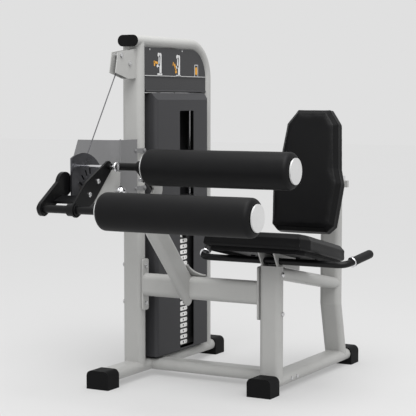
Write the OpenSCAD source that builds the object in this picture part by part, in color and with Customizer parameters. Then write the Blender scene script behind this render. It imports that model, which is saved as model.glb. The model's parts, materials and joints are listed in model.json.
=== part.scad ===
// Seated leg extension and leg curl machine with a weight stack tower.
// X runs from the tower to the seat, Y from the front of the machine to its back, Z up.
// The origin is on the floor, at the middle of the machine's bounding box.

/* [Frame] */
// Height of the tower over the floor
tower_h = 1500; // [1400:10:1700]
// Length of the tower's base, over its foot caps
tower_base_l = 1034; // [980:2:1300]
// Length of the seat's base, over its foot caps
seat_base_l = 932; // [900:2:1200]
// How far the seat's base starts behind the tower's
seat_base_setback = 180; // [120:5:220]
// Distance from the middle of the tower to the middle of the seat
seat_x = 670; // [620:5:820]
// Distance from the front of the tower's base to the middle of the front posts
post_y = 302; // [280:2:340]
// Distance from the front posts to the rear leg of the tower's arch
arch_l = 596; // [580:2:720]
// Wide side of every frame tube
tube_w = 100; // [90:1:110]
// Narrow side of every frame tube
tube_t = 50; // [44:1:56]
// Wall of every frame tube
tube_wall = 3; // [2:0.5:5]
// Radius of the arch's bend, at the middle of the tube
arch_r = 155; // [120:5:200]
// Height of the middle of the cross beam
cross_z = 417; // [380:1:440]

/* [Feet] */
// Width of a foot cap
foot_w = 109; // [104:1:130]
// Length of a foot cap
foot_l = 86; // [70:1:110]
// Height of a foot cap
foot_h = 79; // [76:1:95]
// Rubber under the base tubes
sole_t = 25; // [15:1:30]

/* [Weight stack] */
// Number of plates, without the top plate
plates = 25; // [12:1:26]
// Number of plates picked by the selector pin
picked = 6; // [1:1:10]
// Thickness of one plate
plate_t = 25.5; // [20:0.5:26]
// Gap between two plates
plate_gap = 0.5; // [0.3:0.1:1]
// Depth of a plate, away from the tower's face
plate_d = 90; // [80:2:100]
// Width of a plate, across the slot
plate_w = 330; // [280:2:350]
// Thickness of the top plate
top_plate_t = 36; // [30:1:45]
// Diameter of a guide rod
rod_d = 20; // [16:1:25]
// Distance from the stack's middle to a guide rod
rod_y = 144; // [110:1:150]
// Diameter of the cable
cable_d = 5; // [4:0.5:6]

/* [Shrouds] */
// Width of the front shroud
shroud_w = 470; // [440:5:500]
// Sheet of the shrouds
shroud_t = 3; // [2:0.5:4]
// Width of the slot in the front shroud
slot_w = 128; // [110:2:150]
// Height of the front shroud's top
shroud_top = 1252; // [1220:2:1260]

/* [Knee pivot] */
// Height of the knee pivot
knee_z = 848; // [830:1:860]
// How far the knee pivot lies in front of the tower's base
knee_out = 82; // [70:1:95]
// Radius at which the cam takes up the cable
cam_r = 80; // [65:1:85]
// Radius of the index plate's rim
index_r = 169; // [165:1:172]
// Radius of the start holes
start_r = 128; // [120:1:132]
// Angle between two start holes
start_step = 9; // [8:0.5:12]
// Diameter of the knee shaft
shaft_d = 30; // [25:1:32]

/* [Rollers] */
// Diameter of both rollers
roller_d = 150; // [120:2:156]
// Length of both rollers
roller_l = 660; // [560:10:680]
// Diameter of a roller's shaft
spindle_d = 32; // [25:1:34]
// Distance from the knee pivot to the leg roller
lever_l = 307; // [290:1:330]
// Height of the thigh roller
thigh_z = 947; // [935:1:965]

/* [Seat] */
// Width of the seat cushion
seat_w = 480; // [420:5:520]
// Length of the seat cushion
seat_l = 440; // [380:5:460]
// Thickness of the seat cushion
seat_t = 62; // [50:1:66]
// Height of the seat's front edge
seat_z = 692; // [680:1:720]
// Slope of the seat and its beam
seat_tilt = 12; // [8:0.5:13]
// Height of the backrest
back_h = 545; // [500:5:600]
// Thickness of the backrest cushion
back_t = 60; // [50:1:70]
// Recline of the backrest
back_tilt = 13; // [8:0.5:16]
// Diameter of the handle bar
handle_d = 28; // [25:1:32]

/* [Hidden] */
$fn = 48;
frame_color = "#b4b4b2";
dark_color = "#2a2a2c";
shroud_color = "#565658";
pad_color = "#1d1d1f";
chrome_color = "#d8d8da";
fit = 0.05;        // radial clearance of a running fit
loose = 0.2;       // radial clearance of a bolt hole or a socket
air = 0.3;         // gap between curved faces of pieces that move past each other

// Base and posts
base_z = sole_t + tube_t / 2;
base_top = sole_t + tube_t;
front_face = post_y - tube_t / 2;
arch_y = post_y + arch_l;
arch_front = post_y - 44;
arch_top_z = tower_h - tube_t / 2;
beam_y = 420;
beam_bolt_y = [beam_y - 26, beam_y + 26];
seat_base_end = seat_base_setback + seat_base_l;

// Tower inside: the cable's plane lies a little to the seat's side of the middle
cable_x = 10;
stack_y = post_y + 332;
stack_z = base_top + 23;
pitch = plate_t + plate_gap;
resting = plates - picked;
picked_z = stack_z + resting * pitch;
top_plate_z = picked_z + picked * pitch;
stack_top = top_plate_z + top_plate_t;
pin_z = picked_z + plate_t / 2;
sheave_r = 45;
sheave_w = 20;
axle_d = 12;
front_sheave = [post_y - 77, tower_h - 124];
rear_sheave = [stack_y - sheave_r, tower_h - 124];
run_z = front_sheave[1] + sheave_r;
spacer_at = [front_sheave[0] - 66, front_sheave[1] + 34];
lift = cam_r * PI / 2;
fitting_h = 46;
selector_d = 22;
pin_d = 10;
cheek_x = 13;
cheek_t = 4;

// Shroud places
shroud_mid = post_y + arch_l / 2 + 2;
shroud_x = 76;
shroud_edge = 6;
bevel = 26;
bevel_h = 31;
shroud_bottom = base_top + 10;
slot_top = shroud_top - 80;
placard_x = 36;

// Knee pivot: the lever's angle at rest, seen from the seat with the back to the right
knee = [-knee_out, knee_z];
lever_a = 190;
leg_roller = knee + lever_l * [cos(lever_a), sin(lever_a)];
pin_a = 125;
start_pin_at = knee + start_r * [cos(pin_a), sin(pin_a)];
lever_mid = [-290, 858];
lever_bolts = [[-295, 849], [-234, 899]];
counter_at = [-240, 884];
bridge_at = [-292, 826];
brace_a = 46.2;
brace_x = 265;
brace_end = [-63, 790];
brace_l = (post_y + tube_t - brace_end[0]) / cos(brace_a);
flare_r = 62;
housing_x = [70, 146];
housing_d = 90;
bush_d = 52;
hub_x = 148;
side_t = 8;
side_x = hub_x + side_t;
bar_x = -4;
bar_t = 16;
index_x = 24;
index_t = 8;
index_mid = [-143, 837];
pin_bore = 12 + 2 * fit;
cam_w = 22;
shaft_end = side_x + side_t + 3;
pivot_tube_at = brace_end + 106 * [cos(brace_a), -sin(brace_a)] + tube_t / 2 * [sin(brace_a), cos(brace_a)];
thigh_roller = [-18, thigh_z];
thigh_pivot = [110, 850];
arm_t = 10;
thigh_t = 8;
thigh_plate_x = brace_x - tube_t / 2 - thigh_t;
thigh_arm_x = thigh_plate_x - arm_t - 1;
pin_reach = 66;
thigh_step = 10;
thigh_a = atan2(thigh_roller[1] - thigh_pivot[1], thigh_roller[0] - thigh_pivot[0]);
thigh_pin_at = thigh_pivot + pin_reach * [cos(thigh_a), sin(thigh_a)];
cap_d = 104;
core_d = 44;
leg_roller_x = 284;
thigh_roller_x = 262;
cam_wrap = 190;
ball_d = 9;
tangent_a = atan2(front_sheave[1] - knee[1], front_sheave[0] - knee[0])
    + acos((cam_r - sheave_r) / norm(front_sheave - knee));
cable_end_a = tangent_a + cam_wrap + 8.2;

// Guard sheet in front of the upright
guard_x = tube_w / 2 + 6;
guard_z = [800, 1052];
guard_y = 75;
guard_seam_y = 105;
guard_left = -162;
guard_end = 238;

// Seat: its local frame has the origin at the middle of the cushion's front bottom edge
seat_front = 104;
post_top = 535;
flange_t = 8;
flange_bolt_z = [cross_z - 82, cross_z + 82];
beam_drop = tan(seat_tilt - 1.2);
beam_start = post_top - 27;
mount_w = 76;
pan_t = 4;
bar_z = 555;
bar_y = 300;
bar_half = 340;
bar_bend = 46;
flare = 15;
grip_rise = 12;
back_foot = [574, 640];
back_beam_z = 850;
slide_end = 1010;
rear_post_y = 912;
rear_kink = 14;
kink_z = 300;
bar_sec = 50;
sleeve_t = 5;
sleeve_bottom = back_beam_z - bar_sec / 2 - sleeve_t;
back_gap = 0.3;
back_sides = [[0, 118], [0.055, 150], [0.4, 166], [0.52, 146], [0.88, 126], [1, 78]];
grip_start = 14;
grip_l = 112;
grip_d = handle_d + 8;

// Pull pins, drawn back from the plates they lock: how far each is from its seated place
pin_clear = 0.5;
start_pin_out = index_t + pin_clear;
thigh_pin_out = thigh_t - 1 + pin_clear;
back_pin_out = 3 + pin_clear;

// Bounding box in the local frame
low_x = guard_left;
high_x = seat_x + bar_half - bar_bend * (1 - cos(flare)) + (grip_start + grip_l) * sin(flare) + grip_d / 2;
low_y = leg_roller[0] - roller_d / 2;
high_y = seat_base_end;

// ---- Helpers ----

// Puts a piece drawn in the local frame over the middle of the bounding box
module place() translate([-(low_x + high_x) / 2, -(low_y + high_y) / 2, 0]) children();

// Stands a Y-Z outline upright and gives it a thickness along X from x
module slab(x, t) translate([x, 0, 0]) rotate([90, 0, 90]) linear_extrude(t) children();

// A round bar along X through a point of the Y-Z plane
module bar_along_x(x, l, at, d) translate([x, at[0], at[1]]) rotate([0, 90, 0]) cylinder(h = l, d = d);

// Flat oval outline: w along x, t along y
module oval(w, t) {
    square([w - t, t], center = true);
    for (s = [-1, 1]) translate([s * (w - t) / 2, 0]) circle(d = t);
}

// Wall of a flat oval tube
module oval_wall(w = tube_w, t = tube_t) difference() {
    oval(w, t);
    oval(w - 2 * tube_wall, t - 2 * tube_wall);
}

// Rectangle with four round corners, centred
module round_rect(w, h, r) {
    square([w - 2 * r, h], center = true);
    square([w, h - 2 * r], center = true);
    for (x = [-1, 1], y = [-1, 1]) translate([x * (w / 2 - r), y * (h / 2 - r)]) circle(r);
}

// Bar with round ends between two points of a plane
module link(a, b, d) {
    v = b - a;
    translate(a) rotate(atan2(v[1], v[0])) translate([0, -d / 2]) square([norm(v), d]);
    for (p = [a, b]) translate(p) circle(d = d);
}

// Plate outline that tapers between two round ends
module taper(a, ra, b, rb) {
    v = b - a;
    way = atan2(v[1], v[0]);
    side = acos((ra - rb) / norm(v));
    polygon([for (e = [[a, ra, 1], [a, ra, -1], [b, rb, -1], [b, rb, 1]])
        e[0] + e[1] * [cos(way + e[2] * side), sin(way + e[2] * side)]]);
    translate(a) circle(ra);
    translate(b) circle(rb);
}

// Solid of a base tube along Y
module base_solid(x, y0, y1) translate([x, y1, base_z]) rotate([90, 0, 0])
    linear_extrude(y1 - y0) oval(tube_w, tube_t);

module base_tube(x, y0, y1) translate([x, y1, base_z]) rotate([90, 0, 0])
    linear_extrude(y1 - y0) oval_wall();

// Domed bolt head whose axis points along +Z, with its shank below
module bolt(d, shank) {
    translate([0, 0, -shank]) cylinder(h = shank, d = d);
    cylinder(h = d * 0.35, d = d * 1.7);
    translate([0, 0, d * 0.35]) intersection() {
        cylinder(h = d * 0.35, d = d * 1.7);
        translate([0, 0, -d * 0.85]) sphere(r = d * 1.2);
    }
}

// ---- Base ----

module tower_base_tube() color(frame_color) place() difference() {
    base_tube(0, sole_t, tower_base_l - sole_t);
    for (y = beam_bolt_y) bar_along_x(-tube_w, tube_w, [y, base_z], 10 + 2 * loose);
}

module seat_base_tube() color(frame_color) place() difference() {
    base_tube(seat_x, seat_base_setback + sole_t, seat_base_end - sole_t);
    for (y = beam_bolt_y) bar_along_x(seat_x, tube_w, [y, base_z], 10 + 2 * loose);
}

module floor_beam() color(frame_color) place() difference() {
    translate([0, beam_y, base_z]) rotate([90, 0, 90]) linear_extrude(seat_x) oval_wall();
    base_solid(0, 0, tower_base_l);
    base_solid(seat_x, 0, seat_base_end);
}

// One foot cap, open towards +Y, with its front face at y = 0 and square lower corners
module foot(x) difference() {
    union() {
        translate([x, foot_l, 0]) rotate([90, 0, 0]) linear_extrude(foot_l) difference() {
            translate([0, foot_h / 2]) round_rect(foot_w, foot_h, 24);
            translate([0, -foot_w]) square(2 * foot_w, center = true);
        }
        translate([x - foot_w / 2, 0, 0]) cube([foot_w, foot_l, sole_t - loose]);
    }
    translate([x, foot_l + 1, base_z]) rotate([90, 0, 0])
        linear_extrude(foot_l + 1 - sole_t) oval(tube_w + 2 * loose, tube_t + 2 * loose);
}

module tube_caps() color(dark_color) place() {
    foot(0);
    translate([0, tower_base_l, 0]) mirror([0, 1, 0]) foot(0);
    translate([0, seat_base_setback, 0]) foot(seat_x);
    translate([0, seat_base_end, 0]) mirror([0, 1, 0]) foot(seat_x);
    translate([0, arch_front, arch_top_z]) rotate([90, 0, 0]) {
        linear_extrude(6) oval(tube_w, tube_t);
        translate([0, 0, -18]) linear_extrude(18)
            oval(tube_w - 2 * tube_wall - 2 * loose, tube_t - 2 * tube_wall - 2 * loose);
    }
}

// ---- Tower ----

// Outline of the arch's top run, bend and rear leg, swept with a solid or hollow section
module arch_sweep() {
    top_l = arch_l - arch_r + post_y - arch_front;
    translate([0, arch_front, arch_top_z]) rotate([-90, 0, 0]) linear_extrude(top_l) children();
    translate([0, arch_y - arch_r, arch_top_z - arch_r]) rotate([0, 90, 0]) rotate([0, 0, 90])
        rotate_extrude(angle = 90) translate([arch_r, 0]) rotate(90) children();
    translate([0, arch_y, base_z]) linear_extrude(arch_top_z - arch_r - base_z) children();
}

module arch_tube() color(frame_color) place() difference() {
    arch_sweep() oval_wall();
    base_solid(0, 0, tower_base_l);
}

module front_upright() color(frame_color) place() difference() {
    translate([0, post_y, base_z]) linear_extrude(arch_top_z - base_z) oval_wall();
    base_solid(0, 0, tower_base_l);
    translate([0, arch_front, arch_top_z]) rotate([-90, 0, 0]) linear_extrude(arch_l) oval(tube_w, tube_t);
    // window for the cable
    translate([cable_x - 9, post_y - tube_t, run_z - 12]) cube([18, 2 * tube_t, 24]);
    for (z = flange_bolt_z) translate([-tube_w, post_y, z]) rotate([0, 90, 0])
        cylinder(h = 2 * tube_w, d = axle_d + 2 * loose);
}

// Y-Z outline that fills the arch above z
module arch_inside(z) {
    y0 = post_y + tube_t / 2 + air;
    y1 = arch_y - tube_t / 2 - air;
    z1 = arch_top_z - tube_t / 2 - air;
    r = arch_r - tube_t / 2 - air;
    translate([y0, z]) square([y1 - y0 - r, z1 - z]);
    translate([y0, z]) square([y1 - y0, z1 - r - z]);
    intersection() {
        translate([y1 - r, z1 - r]) circle(r, $fn = 96);
        translate([y1 - r, z1 - r]) square(r);
    }
}

module placard() color("#3c3c3e") place() {
    slab(placard_x, 3) arch_inside(shroud_top + 1);
    // rolled lower edge and the ledge under the pictures
    translate([placard_x + 3, post_y + tube_t / 2 + 6, shroud_top + 7]) rotate([-90, 0, 0])
        cylinder(h = arch_l - tube_t - 12, d = 12);
    translate([placard_x + 2, post_y + tube_t / 2 + 6, shroud_top + 70])
        cube([5, arch_l - tube_t - 12, 3]);
}

// Plan outline of the front shroud, grown inwards by inset
module shroud_plan(inset) {
    r = 18 - inset;
    w = shroud_w - 2 * inset;
    translate([shroud_x - inset - r, shroud_mid]) {
        translate([shroud_edge + r + inset - shroud_x, -w / 2])
            square([shroud_x - shroud_edge - r - inset, w]);
        translate([0, -w / 2 + r]) square([r, w - 2 * r]);
        for (s = [-1, 1]) translate([0, s * (w / 2 - r)]) circle(r);
    }
}

// Cuts away what lies over the shroud's sloping top edge
module bevel_cut(inset) translate([shroud_x - bevel, 0, shroud_top - inset])
    rotate([0, atan2(bevel_h, bevel), 0]) cube([120, 3 * shroud_w, 120]);

module shroud_solid(inset) difference() {
    translate([0, 0, shroud_bottom - (inset > 0 ? 1 : 0)])
        linear_extrude(shroud_top - shroud_bottom - inset + (inset > 0 ? 1 : 0)) shroud_plan(inset);
    bevel_cut(inset);
}

module shroud_front() color(shroud_color) place() difference() {
    shroud_solid(0);
    translate([-0.01, 0, 0]) shroud_solid(shroud_t);
    translate([0, 0, shroud_top - 2 * shroud_t]) cube([cable_x + 16, 2 * tower_base_l, tube_w]);
    slab(shroud_x - 12, 30) translate([stack_y, (slot_top + shroud_bottom) / 2 + 4])
        round_rect(slot_w, slot_top - shroud_bottom - 8, 8);
}

module shroud_rear() color(dark_color) place() {
    y0 = post_y + tube_t / 2;
    y1 = arch_y - tube_t / 2;
    z0 = base_top + 2;
    difference() {
        translate([-46, y0, z0]) cube([46 + shroud_edge, y1 - y0, shroud_top - z0]);
        translate([-46 + shroud_t, y0 + shroud_t, z0 - 1])
            cube([46 + shroud_edge - 2 * shroud_t, y1 - y0 - 2 * shroud_t, shroud_top - z0 + 2]);
        translate([0, shroud_mid - shroud_w / 2 + 6, z0 - 1])
            cube([10, shroud_w - 12, shroud_top - z0 + 2]);
    }
}

module guide_rods() color(chrome_color) place()
    for (s = [-1, 1]) translate([cable_x, stack_y + s * rod_y, base_top])
        cylinder(h = shroud_top + 40 - base_top, d = rod_d);

module stack_base() color(dark_color) place() {
    difference() {
        translate([cable_x - plate_d / 2, stack_y - plate_w / 2, base_top]) cube([plate_d, plate_w, 10]);
        for (s = [-1, 1]) translate([cable_x, stack_y + s * rod_y, 0]) cylinder(h = 200, d = rod_d + 2 * fit);
    }
    for (s = [-1, 1]) translate([cable_x, stack_y + s * rod_y, base_top + 10]) difference() {
        cylinder(h = 13, d = 48);
        translate([0, 0, -1]) cylinder(h = 15, d = rod_d + 2 * fit);
    }
}

// One weight plate with its rod holes, selector hole and pin hole
module weight_plate(z, t, rod_gap) difference() {
    translate([cable_x - plate_d / 2, stack_y - plate_w / 2, z]) cube([plate_d, plate_w, t]);
    for (s = [-1, 1]) translate([cable_x, stack_y + s * rod_y, z - 1])
        cylinder(h = t + 2, d = rod_d + 2 * rod_gap);
    translate([cable_x, stack_y, z - 1]) cylinder(h = t + 2, d = selector_d + 3);
    translate([cable_x, stack_y, z + t / 2]) rotate([0, 90, 0]) cylinder(h = plate_d, d = pin_d + 2 * fit);
}

module weight_plates() color("#303032") place()
    for (i = [0 : resting - 1]) weight_plate(stack_z + i * pitch, plate_t, 1);

module picked_plates() color("#303032") place()
    for (i = [0 : picked - 1]) weight_plate(picked_z + i * pitch, plate_t, 1);

module top_plate() color("#303032") place() difference() {
    translate([cable_x - plate_d / 2, stack_y - plate_w / 2, top_plate_z])
        cube([plate_d, plate_w, top_plate_t]);
    for (s = [-1, 1]) translate([cable_x, stack_y + s * rod_y, top_plate_z - 1])
        cylinder(h = top_plate_t + 2, d = rod_d + 2 * fit);
    translate([cable_x, stack_y, top_plate_z - 1]) cylinder(h = top_plate_t + 2, d = selector_d + 2 * fit);
}

// Selector rod with a hole for every plate, and the threaded fitting of the cable on top
module selector_rod() color(chrome_color) place() difference() {
    translate([cable_x, stack_y, 0]) {
        translate([0, 0, stack_z]) cylinder(h = stack_top + 4 - stack_z, d = selector_d);
        translate([0, 0, stack_top + 0.1]) cylinder(h = 12, d = 34, $fn = 6);
        translate([0, 0, stack_top + 4]) cylinder(h = fitting_h - 4, d = 14);
    }
    for (i = [0 : plates - 1]) translate([cable_x - selector_d, stack_y, stack_z + i * pitch + plate_t / 2])
        rotate([0, 90, 0]) cylinder(h = 2 * selector_d, d = pin_d + 2 * fit);
}

module selector_pin() color(dark_color) place()
    translate([0, stack_y, pin_z]) rotate([0, 90, 0]) {
        translate([0, 0, cable_x - 9]) cylinder(h = plate_d / 2 + 12, d = pin_d);
        translate([0, 0, cable_x + plate_d / 2 + 1]) cylinder(h = 6, d = 22);
        translate([0, 0, cable_x + plate_d / 2 + 7]) cylinder(h = 16, d = 30);
    }

// ---- Pulleys and cable ----

// Grooved pulley about X, in the cable's plane
module sheave(at) translate([cable_x - sheave_w / 2, at[0], at[1]]) rotate([0, 90, 0]) difference() {
    cylinder(h = sheave_w, r = sheave_r + 6, $fn = 72);
    translate([0, 0, sheave_w / 2]) rotate_extrude($fn = 72)
        translate([sheave_r, 0]) union() {
            circle(d = cable_d + 2 * air, $fn = 24);
            translate([0, -cable_d / 2 - air]) square([12, cable_d + 2 * air]);
        }
    translate([0, 0, -1]) cylinder(h = sheave_w + 2, d = axle_d + 2 * fit);
    for (side = [-1, sheave_w - 3]) translate([0, 0, side]) difference() {
        cylinder(h = 4, r = sheave_r - 8);
        translate([0, 0, -1]) cylinder(h = 6, d = 28);
    }
}

module front_pulley() color(dark_color) place() sheave(front_sheave);
module rear_pulley() color(dark_color) place() sheave(rear_sheave);

module pulley_bracket() color(frame_color) place() difference() {
    union() {
        for (x = [cable_x - cheek_x - cheek_t, cable_x + cheek_x]) slab(x, cheek_t)
            polygon([[front_face, run_z + 19], [front_face, run_z - 108], [front_face - 62, run_z - 110],
                [front_face - 162, run_z - 86], [front_face - 142, run_z + 1]]);
        translate([cable_x - cheek_x, front_face - 5, run_z - 108]) cube([2 * cheek_x, 5, 127]);
    }
    for (at = [front_sheave, spacer_at]) bar_along_x(cable_x - 40, 80, at, axle_d + 2 * fit);
    translate([cable_x - 9, front_face - 20, run_z - 12]) cube([18, 40, 24]);
    translate([cable_x - 10, front_face - 20, run_z - 96]) cube([20, 40, 100]);
}

module rear_pulley_hanger() color(frame_color) place() {
    rod_bracket();
    difference() {
        for (x = [cable_x - cheek_x - cheek_t, cable_x + cheek_x]) slab(x, cheek_t) {
            z0 = rear_sheave[1];
            z1 = arch_top_z - tube_t / 2;
            translate([rear_sheave[0] - 30, z0]) square([60, z1 - z0]);
            translate(rear_sheave) circle(30);
        }
        bar_along_x(cable_x - 40, 80, rear_sheave, axle_d + 2 * fit);
        translate([0, arch_front, arch_top_z]) rotate([-90, 0, 0])
            linear_extrude(arch_l) oval(tube_w, tube_t);
    }
}

// Cross plate at the top that holds the guide rods
module rod_bracket() difference() {
    translate([cable_x - 30, post_y + tube_t / 2, shroud_top + 20]) cube([50, arch_l - tube_t, 10]);
    for (s = [-1, 1]) translate([cable_x, stack_y + s * rod_y, 0]) cylinder(h = tower_h, d = rod_d + 2 * fit);
    translate([cable_x, stack_y, 0]) cylinder(h = tower_h, d = 24);
}

// Axle bolt across both cheeks, with a head and a nut
module axle(at) {
    x0 = cable_x - cheek_x - cheek_t;
    w = 2 * (cheek_x + cheek_t);
    bar_along_x(x0 - 12, w + 12, at, axle_d);
    translate([x0 + w, at[0], at[1]]) rotate([0, 90, 0]) bolt(axle_d, 1);
    translate([x0 - 9, at[0], at[1]]) rotate([0, 90, 0]) cylinder(h = 8.8, d = 20, $fn = 6);
}

// Stations of the cable round a pulley: place and outward direction, from angle a0 to a1
function wrap(at, r, a0, a1) = let (n = ceil(abs(a1 - a0) / 10))
    [for (i = [0 : n]) let (a = a0 + (a1 - a0) * i / n) [at + r * [cos(a), sin(a)], [cos(a), sin(a)]]];

// Round bar swept through stations in the Y-Z plane
module swept_bar(route, d, sides) {
    n = len(route);
    rings = [for (p = route, k = [0 : sides - 1]) let (a = 360 * (k + 0.5) / sides, r = d / 2)
        [r * cos(a), p[0][0] + r * sin(a) * p[1][0], p[0][1] + r * sin(a) * p[1][1]]];
    polyhedron(rings, concat([[for (k = [0 : sides - 1]) sides - 1 - k]],
        [for (i = [0 : n - 2], k = [0 : sides - 1]) let (a = i * sides + k, b = i * sides + (k + 1) % sides)
            [a, b, b + sides, a + sides]],
        [[for (k = [0 : sides - 1]) (n - 1) * sides + k]]));
}

module weight_cable() color("#6a6a6c") place() translate([cable_x, 0, 0]) swept_bar(concat(
    wrap(knee, cam_r, tangent_a + cam_wrap, tangent_a),
    wrap(front_sheave, sheave_r, tangent_a, 90),
    wrap(rear_sheave, sheave_r, 90, 0)), cable_d, 8);

module stack_cable() color("#6a6a6c") place()
    translate([cable_x, stack_y, stack_top + fitting_h]) cylinder(h = rear_sheave[1] - stack_top - fitting_h,
        d = cable_d, $fn = 24);

// The cable's last stretch and the ball that holds it in the cam
module cam_cable() color("#6a6a6c") place() {
    translate([cable_x, 0, 0]) swept_bar(wrap(knee, cam_r, cable_end_a, cable_end_a - 8), cable_d, 8);
    translate(concat(cable_x, knee + cam_r * [cos(cable_end_a), sin(cable_end_a)])) sphere(d = ball_d);
}

// ---- Seat frame ----

// Solid of an upright frame tube, wide along X
module post_solid(x, y, z0, z1) translate([x, y, z0]) linear_extrude(z1 - z0) oval(tube_w, tube_t);

module seat_front_post() color(frame_color) place() difference() {
    union() {
        translate([seat_x, post_y, base_z]) linear_extrude(post_top - base_z) oval_wall();
        translate([0, 0, post_top - 4]) post_solid(seat_x, post_y, 0, 4);
    }
    base_solid(seat_x, 0, seat_base_end);
    for (z = flange_bolt_z) translate([seat_x - tube_w, post_y, z]) rotate([0, 90, 0])
        cylinder(h = 2 * tube_w, d = axle_d + 2 * loose);
}

// The beam's axis runs down from the front post to the rear post

module seat_beam() color(frame_color) place() difference() {
    intersection() {
        translate([seat_x, post_y, beam_start]) rotate([-90 - atan(beam_drop), 0, 0])
            translate([0, 0, -tube_t])
                linear_extrude(rear_post_y - post_y + 2 * tube_t) oval_wall(tube_w - 2);
        translate([seat_x - tube_w, post_y, 0]) cube([2 * tube_w, rear_post_y - post_y, tower_h]);
    }
    post_solid(seat_x, post_y, 0, post_top + tube_w);
    post_solid(seat_x, rear_post_y, 0, tower_h);
}

// Rear post, solid: upright above its mitred kink, leaning back towards the floor below it
module rear_post_solid(w, t) {
    arc = 20;
    half = [for (i = [0 : arc]) let (a = -90 + 180 * i / arc) [(w - t) / 2 + t / 2 * cos(a), t / 2 * sin(a)]];
    outline = concat(half, -half);
    n = len(outline);
    lean = (kink_z - base_z) * tan(rear_kink);
    rings = concat([for (p = outline) [p[0], p[1] + lean, base_z]],
        [for (p = outline) [p[0], p[1], kink_z + p[1] * tan(rear_kink / 2)]],
        [for (p = outline) [p[0], p[1], sleeve_bottom]]);
    translate([seat_x, rear_post_y, 0]) polyhedron(rings, concat([[for (k = [0 : n - 1]) k]],
        [for (i = [0, 1], k = [0 : n - 1]) let (a = i * n + k, b = i * n + (k + 1) % n) [a, a + n, b + n, b]],
        [[for (k = [n - 1 : -1 : 0]) 2 * n + k]]));
}

module seat_rear_post() color(frame_color) place() difference() {
    rear_post_solid(tube_w, tube_t);
    difference() {
        rear_post_solid(tube_w - 2 * tube_wall, tube_t - 2 * tube_wall);
        translate([seat_x - tube_w, 0, sleeve_bottom - 4]) cube([2 * tube_w, 2 * rear_post_y, 8]);
    }
    base_solid(seat_x, 0, seat_base_end);
}

module cross_beam() color(frame_color) place() difference() {
    x0 = tube_w / 2;
    x1 = seat_x - tube_w / 2;
    union() {
        translate([x0 + flange_t, post_y, cross_z]) rotate([0, 90, 0]) linear_extrude(x1 - x0 - 2 * flange_t)
            oval_wall();
        for (x = [x0, x1 - flange_t]) translate([x, post_y, cross_z]) rotate([0, 90, 0])
            linear_extrude(flange_t) round_rect(224, 46, 10);
    }
    for (z = flange_bolt_z) translate([0, post_y, z]) rotate([0, 90, 0])
        cylinder(h = seat_x, d = axle_d + 2 * loose);
}

// Pulley axles, through bolts of both flanges, and the bolts of the floor beam
module frame_bolts() color(chrome_color) place() {
    for (at = [front_sheave, rear_sheave, spacer_at]) axle(at);
    for (z = flange_bolt_z) {
        translate([tube_w / 2 + flange_t, post_y, z]) rotate([0, 90, 0]) bolt(axle_d, tube_w + flange_t);
        translate([-tube_w / 2, post_y, z]) rotate([0, -90, 0]) bolt(axle_d, 1);
        translate([seat_x + tube_w / 2, post_y, z]) rotate([0, 90, 0]) bolt(axle_d, tube_w + flange_t);
        translate([seat_x - tube_w / 2 - flange_t, post_y, z]) rotate([0, -90, 0]) bolt(axle_d, 1);
    }
    for (y = beam_bolt_y) {
        translate([-tube_w / 2, y, base_z]) rotate([0, -90, 0]) bolt(10, tube_wall);
        translate([seat_x + tube_w / 2, y, base_z]) rotate([0, 90, 0]) bolt(10, tube_wall);
    }
}

module brace_solid(w, t, extra) translate([brace_x, brace_end[0], brace_end[1]])
    rotate([-90 - brace_a, 0, 0]) linear_extrude(extra) rotate(90) oval(w, t);

module brace() color(frame_color) place() {
    difference() {
        union() {
            difference() {
                brace_solid(tube_w, tube_t, brace_l);
                translate([0, -4 * cos(brace_a), 4 * sin(brace_a)])
                    brace_solid(tube_w - 2 * tube_wall, tube_t - 2 * tube_wall, brace_l + 8);
            }
            brace_solid(tube_w, tube_t, 4);
        }
        translate([0, post_y, cross_z]) rotate([0, 90, 0]) linear_extrude(seat_x) oval(tube_w, tube_t);
        translate([0, post_y, 0]) cube([seat_x, 400, 2 * cross_z]);
    }
    difference() {
        gusset();
        brace_solid(tube_w, tube_t, brace_l);
        translate([0, post_y + tube_t, 0]) cube([seat_x, 400, 2 * cross_z]);
    }
}

// Cover plate on top of the brace that flares out where it comes down on the cross beam
module gusset() {
    rise = tube_w / 2 - 2.3;
    foot_w2 = tube_t / 2 + flare_r;
    top = brace_end + rise * [sin(brace_a), cos(brace_a)];
    reach = (top[1] - cross_z - tube_w / 2) / sin(brace_a) + 6;
    translate([brace_x, top[0], top[1]]) rotate([180 - brace_a, 0, 0]) translate([0, -reach, -6])
        linear_extrude(6) difference() {
            translate([-foot_w2, 0]) square([2 * foot_w2, flare_r + 14]);
            for (s = [-1, 1]) translate([s * foot_w2, flare_r + 14]) circle(flare_r);
        }
}

// ---- Knee pivot ----

module pivot_arm() color(frame_color) place() difference() {
    union() {
        for (x = [housing_x[0] + 6, housing_x[1] - 16]) slab(x, 10)
            taper(knee, housing_d / 2 + 6, pivot_tube_at, 46);
        pivot_tube(housing_x[0] + 6) oval(tube_w, tube_t);
    }
    pivot_tube(housing_x[0] - 40) oval(tube_w - 2 * tube_wall, tube_t - 2 * tube_wall);
    brace_solid(tube_w, tube_t, brace_l);
    bar_along_x(housing_x[0] - 1, 200, knee, housing_d);
}

// Tube along X from the brace towards the knee pivot, starting at x
module pivot_tube(x) translate([x, pivot_tube_at[0], pivot_tube_at[1]]) rotate([0, 90, 0])
    rotate([0, 0, 90 - brace_a]) linear_extrude(brace_x - tube_t / 4 - x) children();

module bearing_housing() color(frame_color) place() difference() {
    bar_along_x(housing_x[0], housing_x[1] - housing_x[0], knee, housing_d);
    bar_along_x(housing_x[0] - 1, housing_x[1] - housing_x[0] + 2, knee, bush_d);
}

module bearing_bushes() color("#b08d57") place()
    for (x = [housing_x[0], housing_x[1] - 22]) difference() {
        bar_along_x(x, 22, knee, bush_d - 2 * fit);
        bar_along_x(x - 1, 24, knee, shaft_d + 2 * fit);
    }

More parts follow.
